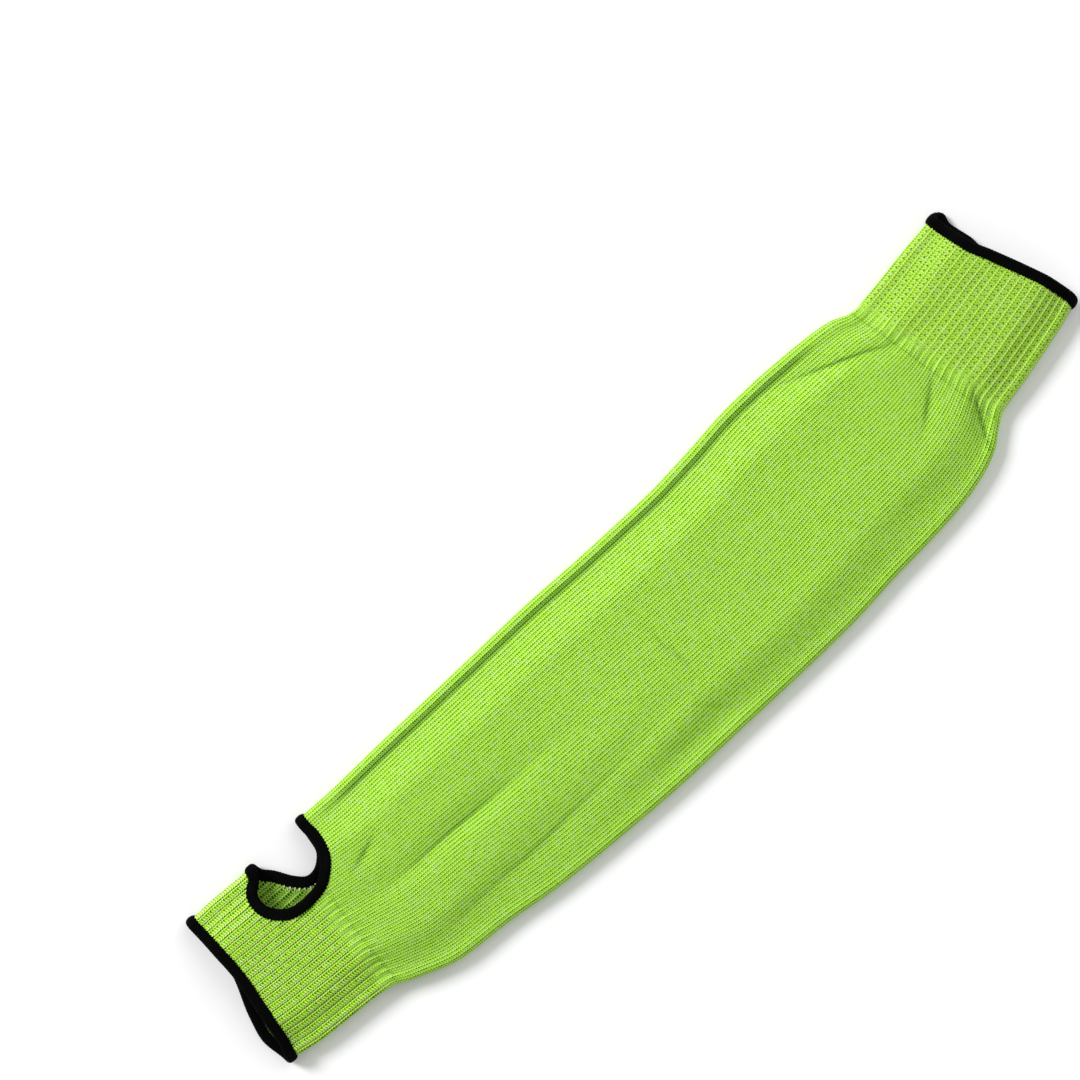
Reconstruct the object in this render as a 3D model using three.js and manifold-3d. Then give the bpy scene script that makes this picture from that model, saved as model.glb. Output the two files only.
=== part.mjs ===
import * as THREE from "three";
import { ParametricGeometry } from "three/addons/geometries/ParametricGeometry.js";
import { mergeVertices } from "three/addons/utils/BufferGeometryUtils.js";
import Module from "manifold-3d";

const wasm = await Module();
wasm.setup();

// Driving dimensions, in millimetres
const sleeveLength = 457;
const sleeveWidth = 99;
const knitWall = 1.5;
const foldRadius = 3;
const bodyCrown = 6.4;
const crownSpread = 0.46;
const ribCount = 46;
const ribDepth = 0.5;
const bindingWidth = 4.8;
const bindingLip = 0.75;
const bindingBevel = 0.4;
const bindingCrown = 1.2;
const thumbLength = 35;
const thumbDepth = 26.5;
const gap = 0.3;

// Sizes that follow from them
const handCuffEnd = 0.14 * sleeveLength;
const upperCuffStart = 0.862 * sleeveLength;
const thumbStart = 0.083 * sleeveLength;
const slotHalf = knitWall / 2 + 1.6 * gap;
const bindingHalf = slotHalf + bindingLip;
const edgeSlack = 2.5 * gap;
const edgeRest = 0.08;
const stitchGap = 1.4 * gap;

// Facets: stops of the body round and along, crowded at its folds and ends by a share of the evenly
// spaced ones; rows of the cuffs as shares of their length; rib stops that a mouth binding keeps;
// share of a cuff's length that its binding presses smooth
const bodyColumns = 44;
const bodyRows = 21;
const foldCrowd = 0.62;
const endCrowd = 0.3;
const handCuffRows = [0, 0.09, 0.36, 0.64, 0.91, 1];
const upperCuffRows = [0, 0.09, 0.5, 0.91, 1];
const foldColumns = 6;
const flatStride = 2;
const pressedReach = 0.05;

// The body tube's nodes from the hand cuff on, each with the same number of rows
const bodyRuns = ["forearm_tube", "elbow_tube", "upper_arm_tube"];

// Sections from the hand end: share of the length, middle line and flat width as shares of the
// sleeve's width, heading in degrees, crown as a share of the body's, raised underside as a share
const sections = [
  { at: 0.0, middle: -0.008, width: 0.71, turn: -6.5, crown: 0.9, raised: 1 },
  { at: 0.024, middle: -0.018, width: 0.725, turn: -6.4, crown: 0.85, raised: 1 },
  { at: 0.055, middle: -0.033, width: 0.752, turn: -6.2, crown: 0.78, raised: 1 },
  { at: 0.1, middle: -0.049, width: 0.757, turn: -6, crown: 0.74, raised: 1 },
  { at: 0.132, middle: -0.058, width: 0.776, turn: -6, crown: 0.76, raised: 1 },
  { at: 0.155, middle: -0.078, width: 0.83, turn: -6, crown: 0.8, raised: 1 },
  { at: 0.2, middle: -0.117, width: 0.897, turn: -6, crown: 0.9, raised: 0.4 },
  { at: 0.25, middle: -0.128, width: 0.922, turn: -5.2, crown: 1, raised: 0 },
  { at: 0.31, middle: -0.149, width: 0.962, turn: -4.2, crown: 0.96, raised: 0 },
  { at: 0.38, middle: -0.162, width: 0.986, turn: -3.2, crown: 0.92, raised: 0 },
  { at: 0.45, middle: -0.171, width: 1, turn: -1.7, crown: 0.98, raised: 0 },
  { at: 0.53, middle: -0.179, width: 0.991, turn: 0, crown: 1, raised: 0 },
  { at: 0.6, middle: -0.183, width: 0.991, turn: 1.7, crown: 1, raised: 0 },
  { at: 0.65, middle: -0.176, width: 1, turn: 3, crown: 1, raised: 0 },
  { at: 0.71, middle: -0.155, width: 1.004, turn: 4, crown: 1, raised: 0 },
  { at: 0.745, middle: -0.151, width: 1, turn: 4.5, crown: 1, raised: 0 },
  { at: 0.785, middle: -0.147, width: 0.98, turn: 6, crown: 1, raised: 0 },
  { at: 0.815, middle: -0.139, width: 0.945, turn: 7, crown: 0.95, raised: 0 },
  { at: 0.84, middle: -0.126, width: 0.888, turn: 8.2, crown: 0.85, raised: 0 },
  { at: 0.858, middle: -0.112, width: 0.8, turn: 9.4, crown: 0.82, raised: 0 },
  { at: 0.872, middle: -0.094, width: 0.755, turn: 10.2, crown: 0.76, raised: 0.2 },
  { at: 0.9, middle: -0.073, width: 0.746, turn: 11.7, crown: 0.74, raised: 0.7 },
  { at: 0.94, middle: -0.04, width: 0.732, turn: 12.5, crown: 0.78, raised: 1 },
  { at: 0.965, middle: -0.02, width: 0.715, turn: 12.8, crown: 0.84, raised: 1 },
  { at: 1.0, middle: 0.014, width: 0.672, turn: 13.2, crown: 0.9, raised: 1 },
];

// Rim of the hand mouth: turn round the tube from the thumb-side fold over the upper layer, and
// place of the edge as a share of the length
const handRim = [
  { around: 0.0, at: 0.0217 },
  { around: 0.12, at: 0.027 },
  { around: 0.22, at: 0.0293 },
  { around: 0.33, at: 0.0274 },
  { around: 0.41, at: 0.0254 },
  { around: 0.47, at: 0.0215 },
  { around: 0.53, at: 0.0165 },
  { around: 0.6, at: 0.0115 },
  { around: 0.67, at: 0.0148 },
  { around: 0.82, at: 0.026 },
  { around: 0.93, at: 0.024 },
];

// Rim of the upper mouth, in the same columns
const upperRim = [
  { around: 0.035, at: 0.975 },
  { around: 0.13, at: 0.973 },
  { around: 0.2, at: 0.977 },
  { around: 0.3, at: 0.982 },
  { around: 0.39, at: 0.9855 },
  { around: 0.46, at: 0.987 },
  { around: 0.5, at: 0.985 },
  { around: 0.57, at: 0.982 },
  { around: 0.7, at: 0.9775 },
  { around: 0.8, at: 0.976 },
  { around: 0.87, at: 0.98 },
  { around: 0.965, at: 0.979 },
];

// Thumb hole, opened out flat, from the lower layer over the fold to the upper one: distance round
// from the fold as a share of its depth, both ends as shares of its length, steps to the next row
const thumbHole = [
  { round: -0.8, from: 0.62, to: 0.78, steps: 2 },
  { round: -0.64, from: 0.48, to: 0.92, steps: 2 },
  { round: -0.36, from: 0.33, to: 0.95, steps: 3 },
  { round: -0.18, from: 0.21, to: 0.955, steps: 6 },
  { round: 0.2, from: 0.165, to: 0.965, steps: 3 },
  { round: 0.42, from: 0.02, to: 0.99, steps: 2 },
  { round: 0.7, from: 0.05, to: 0.96, steps: 2 },
  { round: 0.93, from: 0.22, to: 0.8, steps: 1 },
  { round: 1, from: 0.4, to: 0.64, steps: 1 },
];

// Folds of the upper layer: middle of each as a share of the length and of the half width towards
// the thumb side, heading in degrees, length, breadth and depth in shares of the sleeve's width
const folds = [
  { at: 0.27, side: -0.01, heading: 1, long: 0.85, broad: 0.055, deep: 0.026 },
  { at: 0.33, side: -0.58, heading: 5, long: 1.3, broad: 0.075, deep: 0.032 },
  { at: 0.47, side: -0.78, heading: -2, long: 0.6, broad: 0.06, deep: 0.014 },
  { at: 0.518, side: -0.12, heading: -84, long: 0.35, broad: 0.03, deep: 0.007 },
  { at: 0.513, side: -0.7, heading: -47, long: 0.2, broad: 0.06, deep: 0.01 },
  { at: 0.757, side: -0.67, heading: -8, long: 0.35, broad: 0.07, deep: 0.01 },
  { at: 0.82, side: 0.64, heading: -21, long: 0.6, broad: 0.045, deep: 0.015 },
  { at: 0.837, side: -0.2, heading: 27, long: 0.3, broad: 0.045, deep: 0.013 },
  { at: 0.853, side: -0.8, heading: 48, long: 0.28, broad: 0.05, deep: 0.018 },
  { at: 0.186, side: 0.36, heading: 24, long: 0.2, broad: 0.045, deep: 0.008 },
];
const grooveStart = 0.17;
const grooveEnd = 0.83;
const grooveFade = 0.05;
const grooveInset = 0.042;
const grooveBreadth = 0.016;
const grooveDepth = 0.006;
const gatherCount = 11;
const gatherDepth = 0.5;
const gatherReach = 0.055;
const gatherClear = 1.15;

const clamp01 = (x) => Math.min(1, Math.max(0, x));
const ease = (x) => clamp01(x) ** 2 * (3 - 2 * clamp01(x));
const bell = (x) => Math.exp(-x * x);

// Smooth curve through the rows of a table, level at its peaks and hollows
function follow(rows, key, column, x) {
  const last = rows.length - 2;
  const above = rows.findIndex((row) => row[key] > x);
  const i = above < 0 ? last : Math.max(0, above - 1);
  const slope = (k) => {
    const j = Math.min(last, Math.max(0, k));
    return (rows[j + 1][column] - rows[j][column]) / (rows[j + 1][key] - rows[j][key]);
  };
  const tangent = (k) => {
    const before = slope(k - 1);
    const after = slope(k);
    return before * after > 0 ? (2 * before * after) / (before + after) : 0;
  };
  const span = rows[i + 1][key] - rows[i][key];
  const t = (x - rows[i][key]) / span;
  const rise = rows[i + 1][column] - rows[i][column];
  const bend = (1 - t) * tangent(i) * span - t * tangent(i + 1) * span + (2 * t - 1) * rise;
  return rows[i][column] + t * rise + t * (1 - t) * bend;
}

// The same curve for a table that runs round the tube and meets itself
function followRound(rows, around) {
  const turned = around - Math.floor(around);
  const wrapped = [-1, 0, 1].flatMap((k) => rows.map((row) => ({ ...row, around: row.around + k })));
  return follow(wrapped, "around", "at", turned);
}

// Flat width between the middles of the wall at the two folds
const widthAt = (along) => follow(sections, "at", "width", along / sleeveLength) * sleeveWidth - knitWall;
const layerLength = (width) => width - 2 * foldRadius + Math.PI * foldRadius;
const girthAt = (along) => 2 * layerLength(widthAt(along));

function foldDepth(at, across, width) {
  let depth = 0;
  for (const fold of folds) {
    const heading = THREE.MathUtils.degToRad(fold.heading);
    const dx = (at - fold.at) * sleeveLength;
    const dy = across - (fold.side * width) / 2;
    const down = (dx * Math.cos(heading) + dy * Math.sin(heading)) / (fold.long * sleeveWidth);
    const off = (dy * Math.cos(heading) - dx * Math.sin(heading)) / (fold.broad * sleeveWidth);
    depth += fold.deep * sleeveWidth * bell(2 * down) * bell(off);
  }
  return depth;
}

function grooveOf(at, across, width) {
  const inset = (width / 2 - across) / sleeveWidth - grooveInset;
  const reach = ease((at - grooveStart) / grooveFade) * ease((grooveEnd - at) / grooveFade);
  return grooveDepth * sleeveWidth * reach * bell(inset / grooveBreadth);
}

// Ripples at the change of stitch, left out where the thumb hole is
function gatherOf(at, around) {
  const fromHand = at - handCuffEnd / sleeveLength;
  const fromUpper = upperCuffStart / sleeveLength - at;
  const near = Math.min(fromHand, fromUpper) / gatherReach;
  const pastHole = (around * girthAt(handCuffEnd)) / thumbDepth - gatherClear;
  const kept = fromHand < fromUpper ? ease(2 * pastHole) : 1;
  const fade = near < 0 ? ease(1 + 3 * near) : ease(1 - near);
  return gatherDepth * kept * fade * (0.5 - 0.5 * Math.cos(2 * Math.PI * gatherCount * around));
}

// Middle of the knit wall at a place along the sleeve and a turn round it
function skin(along, around) {
  const at = along / sleeveLength;
  const width = widthAt(along);
  const turn = THREE.MathUtils.degToRad(follow(sections, "at", "turn", at));
  const crown = follow(sections, "at", "crown", at) * bodyCrown;
  const raised = follow(sections, "at", "raised", at) * (bindingHalf - knitWall / 2 + edgeRest);
  const turned = around - Math.floor(around);
  const upper = turned < 0.5;
  const layer = layerLength(width);
  const quarter = (Math.PI * foldRadius) / 2;
  const flatHalf = width / 2 - foldRadius;
  const over = (upper ? turned : 1 - turned) * 2 * layer;
  const fromTip = Math.min(over, layer - over);
  const angle = Math.min(fromTip, quarter) / foldRadius;
  const inward = Math.max(0, fromTip - quarter);
  const reach = flatHalf - inward + foldRadius * Math.cos(angle);
  const across = over < layer / 2 ? reach : -reach;
  let height = knitWall / 2 + raised + foldRadius * (upper ? 1 + Math.sin(angle) : 1 - Math.sin(angle));
  if (upper) {
    const spread = ease(inward / (crownSpread * flatHalf));
    const dents = foldDepth(at, across, width) + grooveOf(at, across, width) + gatherOf(at, around);
    height += crown * spread - dents * ease(inward / foldRadius);
  }
  const middle = follow(sections, "at", "middle", at) * sleeveWidth;
  return new THREE.Vector3(along - across * Math.sin(turn), middle + across * Math.cos(turn), height);
}

// Place on the wall, or off it by an offset square to it, towards the hollow where positive
function offSkin(along, around, offset) {
  const step = 0.4;
  const turnStep = step / (2 * layerLength(sleeveWidth));
  const down = skin(along + step, around).sub(skin(along - step, around));
  const round = skin(along, around + turnStep).sub(skin(along, around - turnStep));
  const out = down.cross(round).normalize();
  return skin(along, around).addScaledVector(out, offset);
}

const handEdge = (around) => followRound(handRim, around) * sleeveLength;
const upperEdge = (around) => followRound(upperRim, around) * sleeveLength;

// Depth of the valley between two ribs; the edge under the binding is pressed smooth
function ribValley(column, share, pressedShare) {
  const pressed = Math.abs(share - pressedShare) < pressedReach;
  return pressed || column % 2 === 1 ? 0 : ribDepth;
}

// Closed wall between two lines round the tube: out along the inside, back along the outside,
// where the valleys are
function knitTube(turns, shares, edges, valley) {
  const rows = shares.length - 1;
  const columns = turns.length - 1;
  const point = (u, v, target) => {
    const column = Math.round(u * columns);
    const row = Math.round(v * (2 * rows + 2));
    const outside = row > rows && row < 2 * rows + 2;
    const share = shares[outside ? 2 * rows + 1 - row : row % (2 * rows + 2)];
    const around = turns[(columns - column) % columns];
    const along = THREE.MathUtils.lerp(edges[0](around), edges[1](around), share);
    const offset = outside ? valley(column, share) - knitWall / 2 : knitWall / 2;
    target.copy(offSkin(along, around, offset));
  };
  return new ParametricGeometry(point, columns, 2 * rows + 2);
}

// Evenly spaced stops from 0 to 1, drawn towards both ends by a share
function crowdedStops(count, crowd) {
  const stop = (u) => (crowd * (1 - Math.cos(Math.PI * u))) / 2 + (1 - crowd) * u;
  return Array.from({ length: count + 1 }, (_, i) => stop(i / count));
}

function bodyTurns() {
  const upper = crowdedStops(bodyColumns / 2, foldCrowd).map((stop) => stop / 2);
  return [...upper, ...upper.slice(1).map((stop) => stop + 0.5)];
}

const ribTurns = () => Array.from({ length: 2 * ribCount + 1 }, (_, i) => i / (2 * ribCount));

// Stops for a mouth binding: every rib stop on the folds, every second between them
function mouthTurns() {
  const nearFold = (i) => Math.min(i % ribCount, ribCount - (i % ribCount)) <= foldColumns;
  const keep = (i) => nearFold(i) || (i % ribCount) % flatStride === 0;
  return ribTurns().filter((_, i) => keep(i));
}

// Overlocked edge: a soft bar folded over the knit edge, held off it all round
function bindingProfile() {
  const lip = bindingWidth - edgeSlack - bindingLip;
  const crest = edgeSlack + bindingLip;
  const upperHalf = [
    [edgeSlack, slotHalf],
    [-lip, slotHalf],
    [bindingBevel - lip, bindingHalf * 0.92],
    [crest - bindingCrown, bindingHalf],
    [crest, bindingHalf / 2],
  ];
  const lowerHalf = upperHalf.map(([out, side]) => [out, -side]).reverse();
  return [...upperHalf, ...lowerHalf];
}

// The bar follows an edge given as place along and turn round, its lips bent with the wall
function bindingRing(edge, stops, facing) {
  const profile = facing > 0 ? bindingProfile() : bindingProfile().reverse();
  const count = stops.length - 1;
  const step = 0.002;
  const point = (u, v, target) => {
    const t = stops[Math.round(u * count) % count];
    const spot = edge(t);
    const girth = girthAt(spot.x);
    const run = edge(t + step).sub(edge(t - step));
    run.y *= girth;
    run.normalize().multiplyScalar(facing);
    const [reach, side] = profile[Math.round(v * profile.length) % profile.length];
    target.copy(offSkin(spot.x - run.y * reach, spot.y + (run.x * reach) / girth, side));
  };
  return new ParametricGeometry(point, count, profile.length);
}

const thumbSpot = (along, round) =>
  new THREE.Vector3(thumbStart + along * thumbLength, round * thumbDepth, 0);
const thumbNear = thumbHole.map((row) => thumbSpot(row.from, row.round));
const thumbFar = thumbHole.map((row) => thumbSpot(row.to, row.round)).reverse();
const thumbCurve = new THREE.CatmullRomCurve3([...thumbNear, ...thumbFar], true);

function thumbEdge(t) {
  const spot = thumbCurve.getPoint(t - Math.floor(t));
  return new THREE.Vector2(spot.x, spot.y / girthAt(spot.x));
}

// Stops round the thumb hole, fine where its edge goes round the fold; the two sides match, so that
// stops the same number of steps from the lowest one lie across the hole from each other
function thumbStops() {
  const rows = thumbHole.length;
  const up = [-0.5];
  thumbHole.forEach((row, i) => {
    for (let k = 0; k < row.steps; k += 1) {
      up.push(i + k / row.steps);
    }
  });
  up.push(rows - 0.5);
  const down = up.slice(1, -1).reverse().map((spot) => 2 * rows - 1 - spot);
  return [...up, ...down, 2 * rows - 0.5].map((spot) => spot / (2 * rows));
}

// Space of the thumb hole: rungs across it, thicker than the wall, from its lowest stop to its top
function thumbPlug() {
  const stops = thumbStops();
  const last = stops.length - 1;
  const rungs = last / 2;
  const half = foldRadius * 0.6;
  const corner = [[0, half], [0, -half], [1, -half], [1, half]];
  const point = (u, v, target) => {
    const rung = Math.round(u * rungs);
    const [across, side] = corner[Math.round(v * 4) % 4];
    const spot = thumbEdge(stops[across ? last - rung : rung]);
    target.copy(offSkin(spot.x, spot.y, side));
  };
  return new ParametricGeometry(point, rungs, 4);
}

function solidOf(geometry) {
  const bare = geometry.clone();
  bare.deleteAttribute("normal");
  bare.deleteAttribute("uv");
  const merged = mergeVertices(bare, 1e-3);
  const index = merged.index.array;
  const kept = [];
  for (let i = 0; i < index.length; i += 3) {
    const [a, b, c] = index.slice(i, i + 3);
    if (a !== b && b !== c && c !== a) kept.push(a, b, c);
  }
  const mesh = new wasm.Mesh({
    numProp: 3,
    vertProperties: Float32Array.from(merged.attributes.position.array),
    triVerts: Uint32Array.from(kept),
  });
  return new wasm.Manifold(mesh);
}

function geometryOf(solid) {
  const mesh = solid.getMesh();
  const geometry = new THREE.BufferGeometry();
  geometry.setAttribute("position", new THREE.BufferAttribute(mesh.vertProperties, 3));
  geometry.setIndex(new THREE.BufferAttribute(mesh.triVerts, 1));
  geometry.computeVertexNormals();
  return geometry;
}

function cutThumbHole(geometry) {
  return geometryOf(solidOf(geometry).subtract(solidOf(thumbPlug())));
}

// One run of the body's rows, as a tube of its own
function bodyTube(run) {
  const rows = bodyRows / bodyRuns.length;
  const stops = crowdedStops(bodyRows, endCrowd).slice(run * rows, (run + 1) * rows + 1);
  const shares = stops.map((stop) => THREE.MathUtils.inverseLerp(stops[0], stops[rows], stop));
  const line = (stop) => THREE.MathUtils.lerp(handCuffEnd, upperCuffStart, stop);
  const ends = [() => line(stops[0]) + stitchGap / 2, () => line(stops[rows]) - stitchGap / 2];
  const tube = knitTube(bodyTurns(), shares, ends, () => 0);
  return run === 0 ? cutThumbHole(tube) : tube;
}

function handCuff() {
  const ends = [handEdge, () => handCuffEnd - stitchGap / 2];
  const valley = (column, share) => ribValley(column, share, 0);
  return cutThumbHole(knitTube(ribTurns(), handCuffRows, ends, valley));
}

function upperCuff() {
  const ends = [() => upperCuffStart + stitchGap / 2, upperEdge];
  const valley = (column, share) => ribValley(column, share, 1);
  return knitTube(ribTurns(), upperCuffRows, ends, valley);
}

function piece(name, geometry, colour, roughness) {
  const material = new THREE.MeshStandardMaterial({ color: colour, roughness, metalness: 0 });
  const mesh = new THREE.Mesh(geometry, material);
  mesh.name = name;
  return mesh;
}

const bodyLime = 0x9fd44a;
const cuffLime = 0xa2d24d;
const edgeBlack = 0x0a0c0b;
const knitRoughness = 0.92;
const edgeRoughness = 0.8;
const mouthStops = mouthTurns();
const sleeve = new THREE.Group();
sleeve.name = "cut_resistant_sleeve";
bodyRuns.forEach((name, run) => sleeve.add(piece(name, bodyTube(run), bodyLime, knitRoughness)));
sleeve.add(piece("hand_cuff", handCuff(), cuffLime, knitRoughness));
sleeve.add(piece("upper_cuff", upperCuff(), cuffLime, knitRoughness));
const handRing = bindingRing((t) => new THREE.Vector2(handEdge(t), t), mouthStops, 1);
sleeve.add(piece("hand_binding", handRing, edgeBlack, edgeRoughness));
const upperRing = bindingRing((t) => new THREE.Vector2(upperEdge(t), t), mouthStops, -1);
sleeve.add(piece("upper_binding", upperRing, edgeBlack, edgeRoughness));
const thumbRing = bindingRing(thumbEdge, thumbStops(), -1);
sleeve.add(piece("thumb_binding", thumbRing, edgeBlack, edgeRoughness));

// The sleeve's box is centred over the origin and rests on the ground plane
const box = new THREE.Box3().setFromObject(sleeve);
const centre = box.getCenter(new THREE.Vector3());
sleeve.position.set(-centre.x, -centre.y, -box.min.z);

export default sleeve;
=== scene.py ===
"""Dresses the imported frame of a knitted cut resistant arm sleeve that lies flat."""

import math

import bmesh
import bpy
import numpy as np
from bpy.props import FloatProperty, FloatVectorProperty, IntProperty, PointerProperty
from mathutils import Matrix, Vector


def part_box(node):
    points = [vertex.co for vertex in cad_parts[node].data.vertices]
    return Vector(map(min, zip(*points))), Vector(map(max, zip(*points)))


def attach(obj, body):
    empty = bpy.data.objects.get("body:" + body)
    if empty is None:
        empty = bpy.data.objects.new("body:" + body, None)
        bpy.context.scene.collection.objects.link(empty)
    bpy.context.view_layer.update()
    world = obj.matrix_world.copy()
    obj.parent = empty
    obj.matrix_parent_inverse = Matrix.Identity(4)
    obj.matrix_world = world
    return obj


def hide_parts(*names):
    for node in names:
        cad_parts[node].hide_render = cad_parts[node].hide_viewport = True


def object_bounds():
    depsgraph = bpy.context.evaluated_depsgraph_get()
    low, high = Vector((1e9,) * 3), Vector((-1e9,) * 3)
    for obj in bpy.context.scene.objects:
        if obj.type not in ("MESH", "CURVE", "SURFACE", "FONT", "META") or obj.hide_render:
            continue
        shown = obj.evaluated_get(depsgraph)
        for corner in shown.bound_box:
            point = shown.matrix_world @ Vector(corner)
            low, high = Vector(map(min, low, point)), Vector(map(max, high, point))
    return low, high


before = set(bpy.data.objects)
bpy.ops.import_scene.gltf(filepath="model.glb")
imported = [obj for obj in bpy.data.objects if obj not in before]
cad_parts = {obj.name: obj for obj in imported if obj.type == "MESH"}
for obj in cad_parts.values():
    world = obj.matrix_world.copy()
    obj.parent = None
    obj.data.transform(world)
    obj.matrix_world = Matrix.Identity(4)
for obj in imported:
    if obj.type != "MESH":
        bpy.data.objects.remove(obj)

bl_info = {
    "name": "Knitted arm sleeve",
    "version": (1, 0, 0),
    "blender": (4, 5, 0),
    "location": "View3D > Sidebar > Sleeve",
    "description": "Knit, ribs, overlocked edges and stage of a cut resistant arm sleeve",
    "category": "Object",
}

FRAME_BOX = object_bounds()

# Driving sizes of the knitted shape, in metres, as in the solids, but for the overlocked edge:
# it is 0.06 mm thinner here
SLEEVE_LENGTH = 0.457
SLEEVE_WIDTH = 0.099
KNIT_WALL = 0.0015
FOLD_RADIUS = 0.003
BODY_CROWN = 0.0064
CROWN_SPREAD = 0.46
RIB_COUNT = 46
BINDING_WIDTH = 0.0048
BINDING_THICK = 0.0039
BINDING_LIP = 0.00075
EDGE_SLACK = 0.00075
EDGE_REST = 0.00008
THUMB_LENGTH = 0.035
THUMB_DEPTH = 0.0265
HAND_CUFF_END = 0.14 * SLEEVE_LENGTH
UPPER_CUFF_START = 0.862 * SLEEVE_LENGTH
THUMB_START = 0.083 * SLEEVE_LENGTH
BODY_NODES = ("forearm_tube", "elbow_tube", "upper_arm_tube")

# Sections from the hand end: share of the length, middle line and flat width as shares of the
# sleeve's width, heading in degrees, crown as a share of the body's, raised underside as a share
SECTION_COLUMNS = ("at", "middle", "width", "turn", "crown", "raised")
SECTIONS = np.array([
    (0.0, -0.008, 0.71, -6.5, 0.9, 1),
    (0.024, -0.018, 0.725, -6.4, 0.85, 1),
    (0.055, -0.033, 0.752, -6.2, 0.78, 1),
    (0.1, -0.049, 0.757, -6, 0.74, 1),
    (0.132, -0.058, 0.776, -6, 0.76, 1),
    (0.155, -0.078, 0.83, -6, 0.8, 1),
    (0.2, -0.117, 0.897, -6, 0.9, 0.4),
    (0.25, -0.128, 0.922, -5.2, 1, 0),
    (0.31, -0.149, 0.962, -4.2, 0.96, 0),
    (0.38, -0.162, 0.986, -3.2, 0.92, 0),
    (0.45, -0.171, 1, -1.7, 0.98, 0),
    (0.53, -0.179, 0.991, 0, 1, 0),
    (0.6, -0.183, 0.991, 1.7, 1, 0),
    (0.65, -0.176, 1, 3, 1, 0),
    (0.71, -0.155, 1.004, 4, 1, 0),
    (0.745, -0.151, 1, 4.5, 1, 0),
    (0.785, -0.147, 0.98, 6, 1, 0),
    (0.815, -0.139, 0.945, 7, 0.95, 0),
    (0.84, -0.126, 0.888, 8.2, 0.85, 0),
    (0.858, -0.112, 0.8, 9.4, 0.82, 0),
    (0.872, -0.094, 0.755, 10.2, 0.76, 0.2),
    (0.9, -0.073, 0.746, 11.7, 0.74, 0.7),
    (0.94, -0.04, 0.732, 12.5, 0.78, 1),
    (0.965, -0.02, 0.715, 12.8, 0.84, 1),
    (1.0, 0.014, 0.672, 13.2, 0.9, 1),
])

# Rims of the two mouths: turn round the tube from the thumb-side fold over the upper layer, and
# place of the edge as a share of the length
HAND_RIM = np.array([
    (0.0, 0.0217), (0.12, 0.027), (0.22, 0.0293), (0.33, 0.0274), (0.41, 0.0254), (0.47, 0.0215),
    (0.53, 0.0165), (0.6, 0.0115), (0.67, 0.0148), (0.82, 0.026), (0.93, 0.024),
])
UPPER_RIM = np.array([
    (0.035, 0.975), (0.13, 0.973), (0.2, 0.977), (0.3, 0.982), (0.39, 0.9855), (0.46, 0.987),
    (0.5, 0.985), (0.57, 0.982), (0.7, 0.9775), (0.8, 0.976), (0.87, 0.98), (0.965, 0.979),
])

# Thumb hole, opened out flat, from the lower layer over the fold to the upper one: distance round
# from the fold as a share of its depth, and both ends as shares of its length
THUMB_HOLE = np.array([
    (-0.8, 0.62, 0.78), (-0.64, 0.48, 0.92), (-0.36, 0.33, 0.95), (-0.18, 0.21, 0.955),
    (0.2, 0.165, 0.965), (0.42, 0.02, 0.99), (0.7, 0.05, 0.96), (0.93, 0.22, 0.8), (1, 0.4, 0.64),
])

# Folds of the upper layer: middle of each as a share of the length and of the half width towards
# the thumb side, heading in degrees, length, breadth and depth in shares of the sleeve's width,
# and how sharp its crease is
FOLD_COLUMNS = ("at", "side", "heading", "long", "broad", "deep", "sharp")
FOLDS = [
    (0.27, -0.01, 1, 0.85, 0.055, 0.026, 0.9),
    (0.33, -0.58, 5, 1.3, 0.075, 0.032, 0.6),
    (0.47, -0.78, -2, 0.6, 0.06, 0.014, 0.1),
    (0.518, -0.12, -84, 0.35, 0.03, 0.007, 0.35),
    (0.513, -0.7, -47, 0.2, 0.06, 0.01, 0.2),
    (0.757, -0.67, -8, 0.35, 0.07, 0.01, 0.1),
    (0.82, 0.64, -21, 0.6, 0.045, 0.015, 1),
    (0.837, -0.2, 27, 0.3, 0.045, 0.013, 1),
    (0.853, -0.8, 48, 0.28, 0.05, 0.018, 1),
    (0.186, 0.36, 24, 0.2, 0.045, 0.008, 1),
]

# Pressed line beside the thumb-side fold, in shares of the length and of the sleeve's width
GROOVE_START = 0.17
GROOVE_END = 0.83
GROOVE_FADE = 0.05
GROOVE_INSET = 0.042
GROOVE_BREADTH = 0.016
GROOVE_DEPTH = 0.006

# Ripples at the change of stitch
GATHER_COUNT = 11
GATHER_DEPTH = 0.0005
GATHER_REACH = 0.055
GATHER_CLEAR = 1.15

# Sharp creases at the bottom of the folds: half breadth, depth and darkness of their painted shade
CREASE_HALF = 0.0009
CREASE_DEPTH = CREASE_HALF / 3
CREASE_SHADE = 0.55

# Ribs: how far they take to turn into plain knit, and how they flatten towards an edge
RIB_FADE = 0.01
RIB_FLAT = 0.002
HOLE_FLAT = 0.003
FLAT_FADE = 0.003

# Unevenness of hand-laid cloth: its height, and for each wave the radians down the length, the
# turns round the tube and the start
SLACK_HEIGHT = 0.0001
SLACK_WAVES = [(19, 3, 0.2), (31, -5, 1.3), (47, 8, 2.9), (73, -13, 4.1)]

# Steps of the meshes round and along
BODY_GRID = (5 * RIB_COUNT, 196)
CUFF_GRID = (10 * RIB_COUNT, 84)
WRAP_STEPS = 5
LAP_STEPS = 22

# Overlock thread: swelling of each wrap, its teeth over the knit, and the knob where it ends
WRAP_SWELL = 0.00013
WRAP_TOOTH = 0.00032
WRAP_SLANT = 0.3
KNOB_AT = 0.972
KNOB_RISE = 0.0012
KNOB_SPREAD = 0.022

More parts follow.
